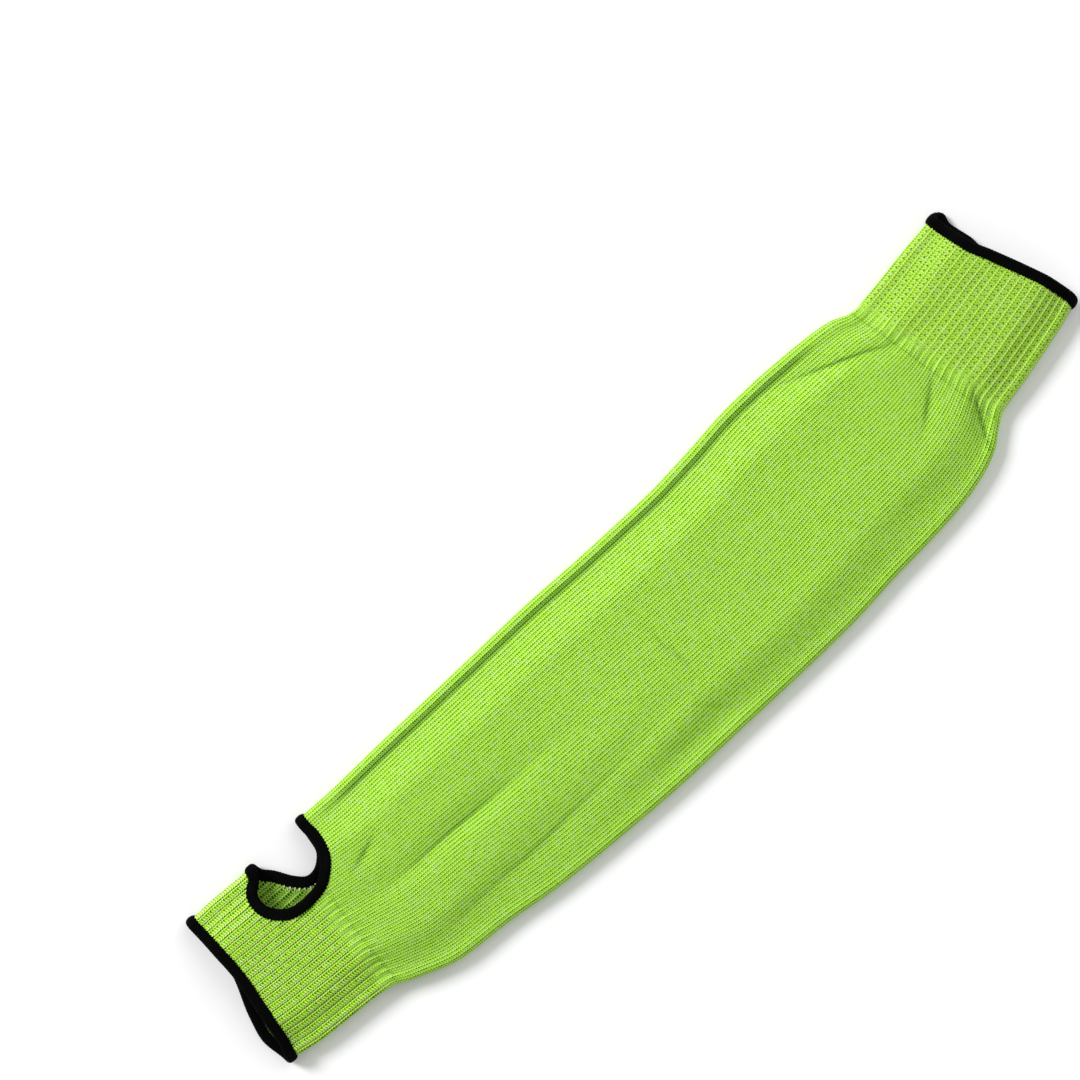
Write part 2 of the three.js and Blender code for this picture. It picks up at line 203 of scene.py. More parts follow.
# Needle threads: how many, turns of the thumb hole between which they show, how far they run on
# both sides of the edge's lip, and at their two ends the distance off the wall towards the hollow
# and the radius
NEEDLE_COUNT = 7
NEEDLE_TURNS = (0.985, 1.075)
NEEDLE_UNDER = 0.0003
NEEDLE_OUT = 0.0017
NEEDLE_SIDES = (0.0013, 0.001)
NEEDLE_RADII = (0.00024, 0.0001)

# Rib patterns: places of the two fine lines across a rib, how dark they are, and courses from one
# small hole to the next
# The fine lines and small holes are darkened as painted shade
HAND_RIB = {"lines": (0.38, 0.38), "line_depth": 1.15, "courses_per_dot": 1}
UPPER_RIB = {"lines": (0.27, 0.54), "line_depth": 0.95, "courses_per_dot": 2}

# Shades of the knit's face and of its reverse, how dull it is, and height of a stitch
# The reverse, inside the tube, is darker as painted shade; the cuffs' face is lighter than the
# body's
BODY_SHADES = (1.0, 0.75)
CUFF_SHADES = (1.14, 0.8)
KNIT_ROUGHNESS = 0.9
KNIT_SHINE = 0.04
STITCH_DEPTH = 0.0003

# Overlock thread's surface: painted shade between its strands and height of their twist
THREAD_SHADE = (0.001, 0.001, 0.001)
THREAD_DEPTH = 0.00012

# Stage: camera's aim from the middle of the sleeve on the floor, half the floor's side and its
# drop, strength of the room's light, and lights by side, height in degrees, strength and softness
# in degrees
AIM = (-0.0016, 0.064, 0.006)
FLOOR_HALF = 4.0
FLOOR_DROP = 0.0001
ROOM_LIGHT = 0.46
LIGHTS = {
    "Key light": ((-0.3, 1.0), 36, 2.9, 22),
    "Side light": ((1.0, 0.2), 45, 0.6, 40),
}


# Curves and surface of the knit

def ease(x):
    """0 up to 0 and 1 from 1 on, level at both ends."""
    x = np.clip(x, 0, 1)
    return x * x * (3 - 2 * x)


def bell(x):
    """1 at the middle, falling away on both sides."""
    return np.exp(-x * x)


def follow(keys, values, x):
    """Smooth curve through a table's rows, level at its peaks and hollows."""
    slopes = np.diff(values) / np.diff(keys)
    before = np.concatenate(([slopes[0]], slopes))
    after = np.concatenate((slopes, [slopes[-1]]))
    climbs = before * after > 0
    total = np.where(climbs, before + after, 1)
    tangents = np.where(climbs, 2 * before * after / total, 0)
    i = np.clip(np.searchsorted(keys, x, side="right") - 1, 0, len(keys) - 2)
    span = keys[i + 1] - keys[i]
    t = (x - keys[i]) / span
    rise = values[i + 1] - values[i]
    bend = (1 - t) * tangents[i] * span - t * tangents[i + 1] * span + (2 * t - 1) * rise
    return values[i] + t * rise + t * (1 - t) * bend


def section(column, at):
    """A column of the sections at shares of the length."""
    return follow(SECTIONS[:, 0], SECTIONS[:, SECTION_COLUMNS.index(column)], at)


def follow_round(rim, around):
    """Curve through a rim's rows that meets itself round the tube, as a distance along."""
    keys = np.concatenate([rim[:, 0] + k for k in (-1, 0, 1)])
    values = np.tile(rim[:, 1], 3)
    return follow(keys, values, around - np.floor(around)) * SLEEVE_LENGTH


def hand_edge(around):
    return follow_round(HAND_RIM, around)


def upper_edge(around):
    return follow_round(UPPER_RIM, around)


def width_at(along):
    """Flat width between the middles of the wall at the two folds."""
    return section("width", along / SLEEVE_LENGTH) * SLEEVE_WIDTH - KNIT_WALL


def layer_length(width):
    """Length of one layer across, from fold tip to fold tip."""
    return width - 2 * FOLD_RADIUS + math.pi * FOLD_RADIUS


def girth_at(along):
    return 2 * layer_length(width_at(along))


def beside_fold(fold, at, across, width):
    """Places as seen from a fold: down it as a share of its length, and the distance off it."""
    place, side, heading, long = fold[:4]
    heading = math.radians(heading)
    dx = (at - place) * SLEEVE_LENGTH
    dy = across - side * width / 2
    down = (dx * math.cos(heading) + dy * math.sin(heading)) / (long * SLEEVE_WIDTH)
    return down, dy * math.cos(heading) - dx * math.sin(heading)


def fold_depth(at, across, width):
    """How deep the folds dent the upper layer."""
    depth = np.zeros_like(at)
    for fold in FOLDS:
        down, off = beside_fold(fold, at, across, width)
        broad, deep = (fold[FOLD_COLUMNS.index(column)] for column in ("broad", "deep"))
        depth = depth + deep * SLEEVE_WIDTH * bell(2 * down) * bell(off / (broad * SLEEVE_WIDTH))
    return depth


def groove_of(at, across, width):
    """Depth of the pressed line beside the thumb-side fold."""
    inset = (width / 2 - across) / SLEEVE_WIDTH - GROOVE_INSET
    reach = ease((at - GROOVE_START) / GROOVE_FADE) * ease((GROOVE_END - at) / GROOVE_FADE)
    return GROOVE_DEPTH * SLEEVE_WIDTH * reach * bell(inset / GROOVE_BREADTH)


def gather_of(at, around):
    """Ripples at the change of stitch, left out where the thumb hole is."""
    from_hand = at - HAND_CUFF_END / SLEEVE_LENGTH
    from_upper = UPPER_CUFF_START / SLEEVE_LENGTH - at
    near = np.minimum(from_hand, from_upper) / GATHER_REACH
    past_hole = around * girth_at(HAND_CUFF_END) / THUMB_DEPTH - GATHER_CLEAR
    kept = np.where(from_hand < from_upper, ease(2 * past_hole), 1)
    fade = np.where(near < 0, ease(1 + 3 * near), ease(1 - near))
    return GATHER_DEPTH * kept * fade * (0.5 - 0.5 * np.cos(2 * math.pi * GATHER_COUNT * around))


def skin(along, around):
    """Middle of the knit wall at places along the sleeve and turns round it."""
    at = along / SLEEVE_LENGTH
    width = width_at(along)
    turn = np.radians(section("turn", at))
    crown = section("crown", at) * BODY_CROWN
    raised = section("raised", at) * (BINDING_THICK / 2 - KNIT_WALL / 2 + EDGE_REST)
    turned = around - np.floor(around)
    upper = turned < 0.5
    layer = layer_length(width)
    quarter = math.pi * FOLD_RADIUS / 2
    flat_half = width / 2 - FOLD_RADIUS
    over = np.where(upper, turned, 1 - turned) * 2 * layer
    from_tip = np.minimum(over, layer - over)
    angle = np.minimum(from_tip, quarter) / FOLD_RADIUS
    inward = np.maximum(0, from_tip - quarter)
    reach = flat_half - inward + FOLD_RADIUS * np.cos(angle)
    across = np.where(over < layer / 2, reach, -reach)
    side = np.where(upper, 1 + np.sin(angle), 1 - np.sin(angle))
    height = KNIT_WALL / 2 + raised + FOLD_RADIUS * side
    dents = fold_depth(at, across, width) + groove_of(at, across, width) + gather_of(at, turned)
    lift = crown * ease(inward / (CROWN_SPREAD * flat_half)) - dents * ease(inward / FOLD_RADIUS)
    height = height + np.where(upper, lift, 0)
    middle = section("middle", at) * SLEEVE_WIDTH
    place = (along - across * np.sin(turn), middle + across * np.cos(turn), height)
    return np.stack(place, axis=-1)


def off_skin(along, around, offset):
    """Places on the wall, or off it by an offset square to it, towards the hollow if positive."""
    step = 0.0004
    turn_step = step / (2 * layer_length(SLEEVE_WIDTH))
    down = skin(along + step, around) - skin(along - step, around)
    round_way = skin(along, around + turn_step) - skin(along, around - turn_step)
    out = np.cross(down, round_way)
    out = out / np.linalg.norm(out, axis=-1, keepdims=True)
    return skin(along, around) + out * np.asarray(offset)[..., None]


def frame_shift():
    """How far the frame's origin is from this script's own, from the body tube's boxes."""
    along, around = np.meshgrid(
        np.linspace(HAND_CUFF_END, UPPER_CUFF_START, 300), np.linspace(0, 1, 300)
    )
    places = off_skin(along, around, np.full_like(along, KNIT_WALL / 2)).reshape(-1, 3)
    corners = np.array([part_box(node) for node in BODY_NODES])
    low = corners[:, 0].min(axis=0)
    high = corners[:, 1].max(axis=0)
    shift = (low + high - places.min(axis=0) - places.max(axis=0)) / 2
    shift[2] = 0
    return shift


SHIFT = frame_shift()


def thumb_outline(t):
    """Edge of the thumb hole at turns t of it: places along the sleeve and round from the fold."""
    near = THUMB_HOLE[:, (1, 0)]
    far = THUMB_HOLE[::-1, (2, 0)]
    stops = np.concatenate((near, far)) * (THUMB_LENGTH, THUMB_DEPTH) + (THUMB_START, 0)
    count = len(stops)
    place = (t - np.floor(t)) * count
    i = np.floor(place).astype(int)
    s = (place - i)[..., None]
    p = [stops[(i + k) % count] for k in (-1, 0, 1, 2)]
    gaps = [np.sqrt(np.linalg.norm(p[k + 1] - p[k], axis=-1))[..., None] for k in range(3)]
    lean = (p[2] - p[1]) / gaps[1]
    start = (p[1] - p[0]) / gaps[0] - (p[2] - p[0]) / (gaps[0] + gaps[1]) + lean
    end = lean - (p[3] - p[1]) / (gaps[1] + gaps[2]) + (p[3] - p[2]) / gaps[2]
    start = start * gaps[1]
    end = end * gaps[1]
    square = -3 * p[1] + 3 * p[2] - 2 * start - end
    cube = 2 * p[1] - 2 * p[2] + start + end
    return p[1] + start * s + square * s ** 2 + cube * s ** 3


def thumb_edge(t):
    """Edge of the thumb hole as places along the sleeve and turns round it."""
    spot = thumb_outline(t)
    return np.stack((spot[..., 0], spot[..., 1] / girth_at(spot[..., 0])), axis=-1)


OUTLINE = thumb_outline(np.linspace(0, 1, 361)[:-1])


def inside_hole(along, round_way):
    """True where a place of the opened-out knit is inside the thumb hole."""
    inside = np.zeros(along.shape, bool)
    for a, b in zip(OUTLINE, np.roll(OUTLINE, -1, axis=0)):
        crosses = (a[1] > round_way) != (b[1] > round_way)
        rise = np.where(crosses, b[1] - a[1], 1)
        inside ^= crosses & (along < a[0] + (round_way - a[1]) / rise * (b[0] - a[0]))
    return inside


def nearest_on_hole(along, round_way):
    """Nearest stop of the hole's edge to each place, and how far away it is."""
    best = np.full(along.shape, np.inf)
    spot = np.zeros(along.shape + (2,))
    for stop in OUTLINE:
        far = np.hypot(along - stop[0], round_way - stop[1])
        closer = far < best
        best = np.where(closer, far, best)
        spot[closer] = stop
    return spot, best


# Settings that a user may change

class KnitSettings(bpy.types.PropertyGroup):
    wall: FloatProperty(
        name="Wall", description="Thickness of the knit", default=KNIT_WALL, unit="LENGTH"
    )
    wales: IntProperty(name="Wales", description="Columns of stitches round the body", default=132)
    body_course: FloatProperty(
        name="Body course", description="Height of a body stitch", default=0.0011, unit="LENGTH"
    )
    cuff_course: FloatProperty(
        name="Cuff course", description="Height of a cuff stitch", default=0.00122, unit="LENGTH"
    )
    rib_depth: FloatProperty(
        name="Rib depth", description="Depth of the valleys between cuff ribs", default=0.0005,
        unit="LENGTH",
    )
    lime: FloatVectorProperty(
        name="Lime", description="Main yarn colour", subtype="COLOR", default=(0.35, 0.9, 0.003)
    )
    # Painted highlight: the colour laid on the crest of each stitch
    bright: FloatVectorProperty(
        name="Bright lime", description="Crest of a stitch", subtype="COLOR",
        default=(0.7, 1.0, 0.19),
    )
    # Painted shade: the colour that gaps, holes and creases of the knit are darkened towards
    deep: FloatVectorProperty(
        name="Deep green", description="Gap between stitches", subtype="COLOR",
        default=(0.011, 0.12, 0.0),
    )
    pale: FloatVectorProperty(
        name="Pale fleck", description="Undyed fibre", subtype="COLOR", default=(0.6, 0.93, 0.27)
    )


class EdgeSettings(bpy.types.PropertyGroup):
    width: FloatProperty(
        name="Width", description="Width of the overlocked edge", default=BINDING_WIDTH,
        unit="LENGTH",
    )
    thickness: FloatProperty(
        name="Thickness", description="Thickness of the overlocked edge", default=BINDING_THICK,
        unit="LENGTH",
    )
    wrap: FloatProperty(
        name="Wrap", description="Distance between wraps of thread", default=0.00125,
        unit="LENGTH",
    )
    black: FloatVectorProperty(
        name="Black", description="Thread colour", subtype="COLOR", default=(0.004, 0.005, 0.0045)
    )
    needle: FloatVectorProperty(
        name="Needle thread", description="Pale thread that shows at the thumb hole",
        subtype="COLOR", default=(0.72, 0.74, 0.62),
    )


class StageSettings(bpy.types.PropertyGroup):
    floor: FloatVectorProperty(
        name="Floor", description="Floor colour", subtype="COLOR", default=(0.93, 0.93, 0.93)
    )
    view_width: FloatProperty(
        name="View width", description="Width of the floor that the camera sees",
        default=0.4482, unit="LENGTH",
    )
    lens: FloatProperty(
        name="Lens", description="Focal length in millimetres", default=100.0, unit="CAMERA"
    )
    heading: FloatProperty(
        name="Heading", description="Turn of the camera about the vertical", subtype="ANGLE",
        default=math.radians(-43.58),
    )


# Meshes

def grid_mesh(columns, rows):
    """A flat grid, with each vertex's turn round from -0.5 to 0.5 and its share from 0 to 1."""
    bm = bmesh.new()
    bmesh.ops.create_grid(bm, x_segments=columns, y_segments=rows, size=0.5)
    spots = np.array([vert.co[:2] for vert in bm.verts])
    return bm, spots[:, 0], spots[:, 1] + 0.5


def rib_relief(along, around, depth):
    """Valleys between the cuff ribs, fading into the body and pressed flat at the mouths."""
    wave = 0.5 + 0.5 * np.cos(2 * math.pi * RIB_COUNT * around)
    into_body = np.minimum(along - HAND_CUFF_END, UPPER_CUFF_START - along)
    from_edge = np.minimum(along - hand_edge(around), upper_edge(around) - along)
    kept = ease(0.8 - into_body / RIB_FADE) * ease((from_edge - RIB_FLAT) / FLAT_FADE)
    return depth * wave * kept


def slack_of(along, around):
    """Slight unevenness of hand-laid cloth, on the upper layer only."""
    total = np.zeros_like(along)
    for down, turns, start in SLACK_WAVES:
        phase = down * along / SLEEVE_LENGTH + 2 * math.pi * turns * around + start
        total = total + math.sqrt(SLACK_WAVES[0][0] / down) * np.sin(phase)
    return SLACK_HEIGHT * total * ease(6 * around) * ease(6 * (0.5 - around))


def crease_of(along, around):
    """How sharply the upper layer is creased, from 0 to 1, by its folds and its pressed line."""
    at = along / SLEEVE_LENGTH
    width = width_at(along)
    turned = around - np.floor(around)
    across = layer_length(width) * (0.5 - 2 * turned)
    total = 0.9 * groove_of(at, across, width) / (GROOVE_DEPTH * SLEEVE_WIDTH)
    for fold in FOLDS:
        down, off = beside_fold(fold, at, across, width)
        sharp = fold[FOLD_COLUMNS.index("sharp")]
        total = total + sharp * bell(3 * down) * bell(off / CREASE_HALF)
    # Besides sinking the knit, this value darkens its colour along the creases as painted shade
    return np.where(turned < 0.5, np.minimum(total, 1), 0)


def write_mesh(bm, places, **maps):
    """Moves the vertices to their places and writes each pair of coordinates as a UV map."""
    layers = {name: bm.loops.layers.uv.new(name) for name in maps}
    for vert in bm.verts:
        vert.co = places[vert.index]
    for face in bm.faces:
        for loop in face.loops:
            for name, (first, second) in maps.items():
                loop[layers[name]].uv = (first[loop.vert.index], second[loop.vert.index])


def finish_object(bm, name, materials, nodes):
    """Closes the seams, makes the object and ties it to the frame."""
    bmesh.ops.remove_doubles(bm, verts=bm.verts, dist=1e-6)
    mesh = bpy.data.meshes.new(name)
    bm.to_mesh(mesh)
    bm.free()
    for material in materials:
        mesh.materials.append(material)
    mesh.polygons.foreach_set("use_smooth", [True] * len(mesh.polygons))
    piece = bpy.data.objects.new(name, mesh)
    bpy.context.collection.objects.link(piece)
    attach(piece, "root")
    if nodes:
        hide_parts(*nodes)
    return piece


def meet_body(places, columns, rows, row):
    """Lays every second vertex of a cuff's end row on the straight edges of the body's end row."""
    grid = places.reshape(rows + 1, columns + 1, 3)
    grid[row, 1::2] = (grid[row, :-1:2] + grid[row, 2::2]) / 2


def knit_object(nodes, ends, grid, across, course, materials, seam=None):
    """Knit wall between two lines round the sleeve, with the thumb hole cut where it crosses."""
    knit = bpy.context.scene.sleeve_knit
    bm, around, share = grid_mesh(*grid)
    along = ends[0](around) + (ends[1](around) - ends[0](around)) * share
    round_way = around * girth_at(along)
    bm.faces.ensure_lookup_table()
    corners = np.array([[vert.index for vert in face.verts] for face in bm.faces])
    cut = inside_hole(along[corners].mean(axis=1), round_way[corners].mean(axis=1))
    spot, from_hole = nearest_on_hole(along, round_way)
    rim = np.unique(corners[cut])
    along[rim] = spot[rim, 0]
    around = round_way / girth_at(along)
    around[rim] = spot[rim, 1] / girth_at(spot[rim, 0])
    off_hole = ease((from_hole - HOLE_FLAT) / FLAT_FADE)
    crease = crease_of(along, around)
    sunk = rib_relief(along, around, knit.rib_depth) * off_hole + CREASE_DEPTH * crease
    places = off_skin(along, around, sunk - slack_of(along, around)) + SHIFT
    if seam is not None:
        meet_body(places, *grid, seam)
    into_cuff = np.maximum(HAND_CUFF_END - along, along - UPPER_CUFF_START)
    write_mesh(
        bm, places, Surface=((around + 0.5) * across, along / course),
        Marks=(crease, ease(1 - into_cuff / RIB_FADE)),
    )
    bmesh.ops.delete(bm, geom=[bm.faces[i] for i in np.flatnonzero(cut)], context="FACES")
    name = "body_knit" if len(nodes) > 1 else nodes[0] + "_knit"
    piece = finish_object(bm, name, materials, nodes)
    wall = piece.modifiers.new("Knit wall", "SOLIDIFY")
    wall.thickness = knit.wall
    wall.offset = 0
    wall.material_offset = 1
    wall.material_offset_rim = 1
    length = float((ends[1](around) - ends[0](around)).mean())
    return piece


def ring_places(edge, t, reach, side):
    """Places beside an edge line: reach out past the edge, side square to the knit."""
    step = 0.002
    spot = edge(t)
    girth = girth_at(spot[..., 0])
    run = edge(t + step) - edge(t - step)
    run[..., 1] *= girth
    run = run / np.linalg.norm(run, axis=-1, keepdims=True)
    along = spot[..., 0] - run[..., 1] * reach
    around = spot[..., 1] + run[..., 0] * reach / girth
    return off_skin(along, around, side) + SHIFT


def ring_object(node, edge, facing, material, knob_at=None):
    """Overlocked edge: thread wrapped closely round the rim, bunched in a knob where it ends."""
    form = bpy.context.scene.sleeve_edge
    stops = np.linspace(0, 1, 721)
    line = ring_places(edge, stops, np.zeros_like(stops), np.zeros_like(stops))
    lengths = np.linalg.norm(np.diff(line, axis=0), axis=-1)
    run = np.concatenate(([0], np.cumsum(lengths)))
    wraps = round(run[-1] / form.wrap)
    bm, turn, lap = grid_mesh(wraps * WRAP_STEPS, LAP_STEPS)
    t = np.interp((turn + 0.5) * run[-1], run, stops)
    angle = 2 * math.pi * lap
    out = np.sign(np.cos(angle)) * np.abs(np.cos(angle)) ** 0.8
    side = np.sign(np.sin(angle)) * np.abs(np.sin(angle)) ** 0.8
    wrap = (turn + 0.5) * wraps
    ridge = 0.5 + 0.5 * np.cos(2 * math.pi * (wrap + WRAP_SLANT * out))
    swell = WRAP_SWELL * (ridge - 1)
    tooth = WRAP_TOOTH * ridge * ease(-1.6 * out - 0.6)
    middle = EDGE_SLACK + BINDING_LIP - form.width / 2
    reach = middle + out * (form.width / 2 + swell + tooth)
    if knob_at:
        from_knob = (t - knob_at + 0.5) % 1 - 0.5
        reach = reach + KNOB_RISE * (1 + out) * bell(from_knob / KNOB_SPREAD)
    height = side * (form.thickness / 2 + swell)
    places = ring_places(edge, t, facing * reach, height)
    write_mesh(bm, places, Surface=(wrap, lap))
    if facing > 0:
        bmesh.ops.reverse_faces(bm, faces=bm.faces)
    return finish_object(bm, node + "_thread", [material], [node])


# Materials

class Nodes:
    """Adds nodes to a tree and wires them, so that a formula reads as one."""

    def __init__(self, tree):
        self.tree = tree

    def add(self, kind, **settings):
        node = self.tree.nodes.new(kind)
        for key, value in settings.items():
            setattr(node, key, value)
        return node

    def put(self, socket, value):
        if isinstance(value, bpy.types.NodeSocket):
            self.tree.links.new(value, socket)
        else:
            socket.default_value = value

    def math(self, operation, *values):
        node = self.add("ShaderNodeMath", operation=operation)
        for socket, value in zip(node.inputs, values):
            self.put(socket, value)
        return node.outputs[0]

    def smooth(self, value, low, high, kind="SMOOTHSTEP"):
        """0 at low and 1 at high, with soft ends."""
        node = self.add("ShaderNodeMapRange", interpolation_type=kind)
        self.put(node.inputs["Value"], value)
        self.put(node.inputs["From Min"], low)
        self.put(node.inputs["From Max"], high)
        return node.outputs[0]

    def blend(self, share, first, second):
        node = self.add("ShaderNodeMix", data_type="RGBA")
        colours = [socket for socket in node.inputs if socket.type == "RGBA"]
        self.put(node.inputs[0], share)
        self.put(colours[0], first)
        self.put(colours[1], second)
        return next(socket for socket in node.outputs if socket.type == "RGBA")

    def vector(self, *values):
        node = self.add("ShaderNodeCombineXYZ")
        for socket, value in zip(node.inputs, values):
            self.put(socket, value)
        return node.outputs[0]

    def noise(self, place, scale, detail=2.0):
        node = self.add("ShaderNodeTexNoise")
        self.put(node.inputs["Vector"], place)
        self.put(node.inputs["Scale"], scale)
        self.put(node.inputs["Detail"], detail)
        return node.outputs["Fac"]

    def random(self, place):
        node = self.add("ShaderNodeTexWhiteNoise", noise_dimensions="3D")
        self.put(node.inputs["Vector"], place)
        return node.outputs["Value"]

    def use(self, group, **values):
        node = self.add("ShaderNodeGroup", node_tree=group)
        for key, value in values.items():
            self.put(node.inputs[key.replace("_", " ")], value)
        return node.outputs


def new_group(name, inputs, outputs):
    """A shader group with named sockets: its tree, its input sockets and its output node."""
    tree = bpy.data.node_groups.new(name, "ShaderNodeTree")
    kinds = {"value": "NodeSocketFloat", "colour": "NodeSocketColor"}
    for direction, sockets in (("INPUT", inputs), ("OUTPUT", outputs)):
        for label, kind in sockets:
            tree.interface.new_socket(name=label, in_out=direction, socket_type=kinds[kind])
    nodes = Nodes(tree)
    return nodes, nodes.add("NodeGroupInput").outputs, nodes.add("NodeGroupOutput").inputs


def stitch_group(name):
    """Plain stitches: two leaning legs of yarn in each wale, one course above another."""
    n, given, out = new_group(
        name,
        [("Wale", "value"), ("Course", "value")],
        [("Height", "value"), ("Gap", "value"), ("Crest", "value"), ("Run", "value")],
    )
    part = n.math("FRACT", given["Wale"])
    side = n.math("ABSOLUTE", n.math("SUBTRACT", part, 0.5))
    risen = n.math("ADD", given["Course"], n.math("MULTIPLY", side, 1.1))
    down = n.math("SUBTRACT", n.math("MULTIPLY", n.math("FRACT", risen), 2.0), 1.0)
    open_share = n.math("MULTIPLY", down, down)
    off = n.math("MULTIPLY", n.math("SUBTRACT", side, 0.25), 4.0)
    leg = n.math("SUBTRACT", 1.0, n.math("MULTIPLY", off, off))
    lifted = n.math("SUBTRACT", 1.0, n.math("MULTIPLY", open_share, 0.7))
    n.put(out["Height"], n.math("MULTIPLY", leg, lifted))
    chance = n.random(n.vector(
        n.math("FLOOR", n.math("ADD", given["Wale"], 0.5)),
        n.math("FLOOR", n.math("ADD", risen, 0.5)), 0.0,
    ))
    # Gap: painted shade between the wales and between the courses, deeper at random stitches
    depth = n.math("ADD", n.math("MULTIPLY", chance, 0.6), 0.75)
    shown = n.math("ADD", n.math("MULTIPLY", open_share, 0.75), 0.25)
    between = n.math("MULTIPLY", n.smooth(side, 0.14, 0.42), n.math("MULTIPLY", shown, depth))
    n.put(out["Gap"], n.math("MAXIMUM", between, n.math("MULTIPLY", open_share, 0.5)))
    # Crest: where the highlight is painted on each leg
    closed = n.math("SUBTRACT", 1.0, open_share)
    n.put(out["Crest"], n.math("MULTIPLY", n.smooth(side, 0.44, 0.14), closed))
    n.put(out["Run"], n.math("FLOOR", risen))
    return n.tree


def rib_group(name):
    """Ribs: unequal wales between a column of small holes and two fine lines."""
    n, given, out = new_group(
        name,
        [("Rib", "value"), ("Course", "value"), ("Dot length", "value"),
         ("First line", "value"), ("Second line", "value")],
        [("Wale", "value"), ("Dots", "value"), ("Plain", "value")],
    )
    rib = n.math("FLOOR", given["Rib"])
    part = n.math("SUBTRACT", given["Rib"], rib)
    stops = (0.0, given["First line"], given["Second line"], 1.0)
    wale = n.math("MULTIPLY", rib, len(stops) - 1.0)
    for low, high in zip(stops, stops[1:]):
        wale = n.math("ADD", wale, n.smooth(part, low, high, "LINEAR"))
    n.put(out["Wale"], wale)
    column = n.math("ROUND", given["Rib"])
    from_dots = n.math("ABSOLUTE", n.math("SUBTRACT", given["Rib"], column))
    n.put(out["Plain"], n.smooth(from_dots, 0.07, 0.2))
    dot = n.math("FLOOR", given["Course"])
    down = n.math("ABSOLUTE", n.math("SUBTRACT", n.math("SUBTRACT", given["Course"], dot), 0.5))
    short = n.smooth(n.math("DIVIDE", down, given["Dot length"]), 0.5, 0.22)
    # The holes are darkened as painted shade
    depth = n.math("ADD", n.math("MULTIPLY", n.random(n.vector(column, dot, 1.0)), 0.5), 0.75)
    round_dot = n.math("MULTIPLY", n.smooth(from_dots, 0.19, 0.1), short)
    n.put(out["Dots"], n.math("MULTIPLY", round_dot, depth))
    return n.tree


def yarn_and_light_group(name):
    """Lime marl with paler lengths, painted highlight on stitch crests, painted shade in their
    gaps.
    """
    n, given, out = new_group(
        name,
        [("Wale", "value"), ("Run", "value"), ("Course", "value"), ("Gap", "value"),
         ("Crest", "value"), ("Lime", "colour"), ("Bright", "colour"), ("Deep", "colour"),
         ("Pale", "colour")],
        [("Color", "colour")],
    )
    wale = n.math("MULTIPLY", given["Wale"], 0.65)
    length = n.vector(wale, n.math("MULTIPLY", given["Run"], 7.3), 0.0)
    fibre = n.vector(given["Wale"], n.math("MULTIPLY", given["Course"], 6.0), 3.0)
    mood = n.math("ADD", n.noise(length, 1.0), n.math("MULTIPLY", n.noise(fibre, 1.0), 0.4))
    # Painted highlight on the stitches' crests, stronger at random along the yarn
    tone = n.math("MULTIPLY", given["Crest"], n.math("ADD", n.math("MULTIPLY", mood, 0.8), 0.5))
    lit = n.blend(n.math("MINIMUM", tone, 1.0), given["Lime"], given["Bright"])
    mottled = n.blend(n.math("MULTIPLY", n.smooth(mood, 0.68, 0.9), 0.7), lit, given["Pale"])
    # Painted shade in the gaps, holes and creases
    n.put(out["Color"], n.blend(n.math("MINIMUM", given["Gap"], 1.0), mottled, given["Deep"]))
    return n.tree


def marks_of(nodes):
    """Crease, also darkened as painted shade, and fade that the knit's own vertices carry."""
    marks = nodes.add("ShaderNodeUVMap", uv_map="Marks")
    split = nodes.add("ShaderNodeSeparateXYZ")
    nodes.put(split.inputs[0], marks.outputs[0])
    return split.outputs["X"], split.outputs["Y"]


def new_material(name):
    """A material, its nodes and shader, and the two coordinates of the surface's own map."""
    material = bpy.data.materials.new(name)
    material.use_nodes = True
    shader = material.node_tree.nodes["Principled BSDF"]
    nodes = Nodes(material.node_tree)
    surface = nodes.add("ShaderNodeUVMap", uv_map="Surface")
    split = nodes.add("ShaderNodeSeparateXYZ")
    nodes.put(split.inputs[0], surface.outputs[0])
    return material, nodes, shader, split.outputs["X"], split.outputs["Y"]


def matte(shader, roughness, shine):
    shader.inputs["Roughness"].default_value = roughness
    shader.inputs["Specular IOR Level"].default_value = shine


def raise_stitches(nodes, shader, height, depth):
    """Bumps the surface by a height, without moving its mesh."""
    bump = nodes.add("ShaderNodeBump")
    bump.inputs["Distance"].default_value = depth
    nodes.put(bump.inputs["Height"], height)
    nodes.put(shader.inputs["Normal"], bump.outputs[0])


def yarn_and_light_colour(nodes, groups, wale, course, stitch, gap, shade):
    """Yarn colour at a stitch, painted light included, its tones lightened or darkened by a shade.
    """
    knit = bpy.context.scene.sleeve_knit
    yarn = nodes.use(
        groups["yarn"], Wale=wale, Run=stitch["Run"], Course=course, Gap=gap,
        Crest=stitch["Crest"], Lime=shaded(knit.lime, shade), Bright=shaded(knit.bright, shade),
        Deep=shaded(knit.deep, shade), Pale=shaded(knit.pale, shade),
    )
    return yarn["Color"]


def body_material(groups, name, shade):
    material, n, shader, wale, course = new_material(name)
    stitch = n.use(groups["stitch"], Wale=wale, Course=course)
    crease = marks_of(n)[0]
    # Painted shade in the gaps between stitches and along the creases
    gap = n.math("ADD", stitch["Gap"], n.math("MULTIPLY", crease, CREASE_SHADE))
    colour = yarn_and_light_colour(n, groups, wale, course, stitch, gap, shade)
    n.put(shader.inputs["Base Color"], colour)
    matte(shader, KNIT_ROUGHNESS, KNIT_SHINE)
    raise_stitches(n, shader, stitch["Height"], STITCH_DEPTH)
    return material


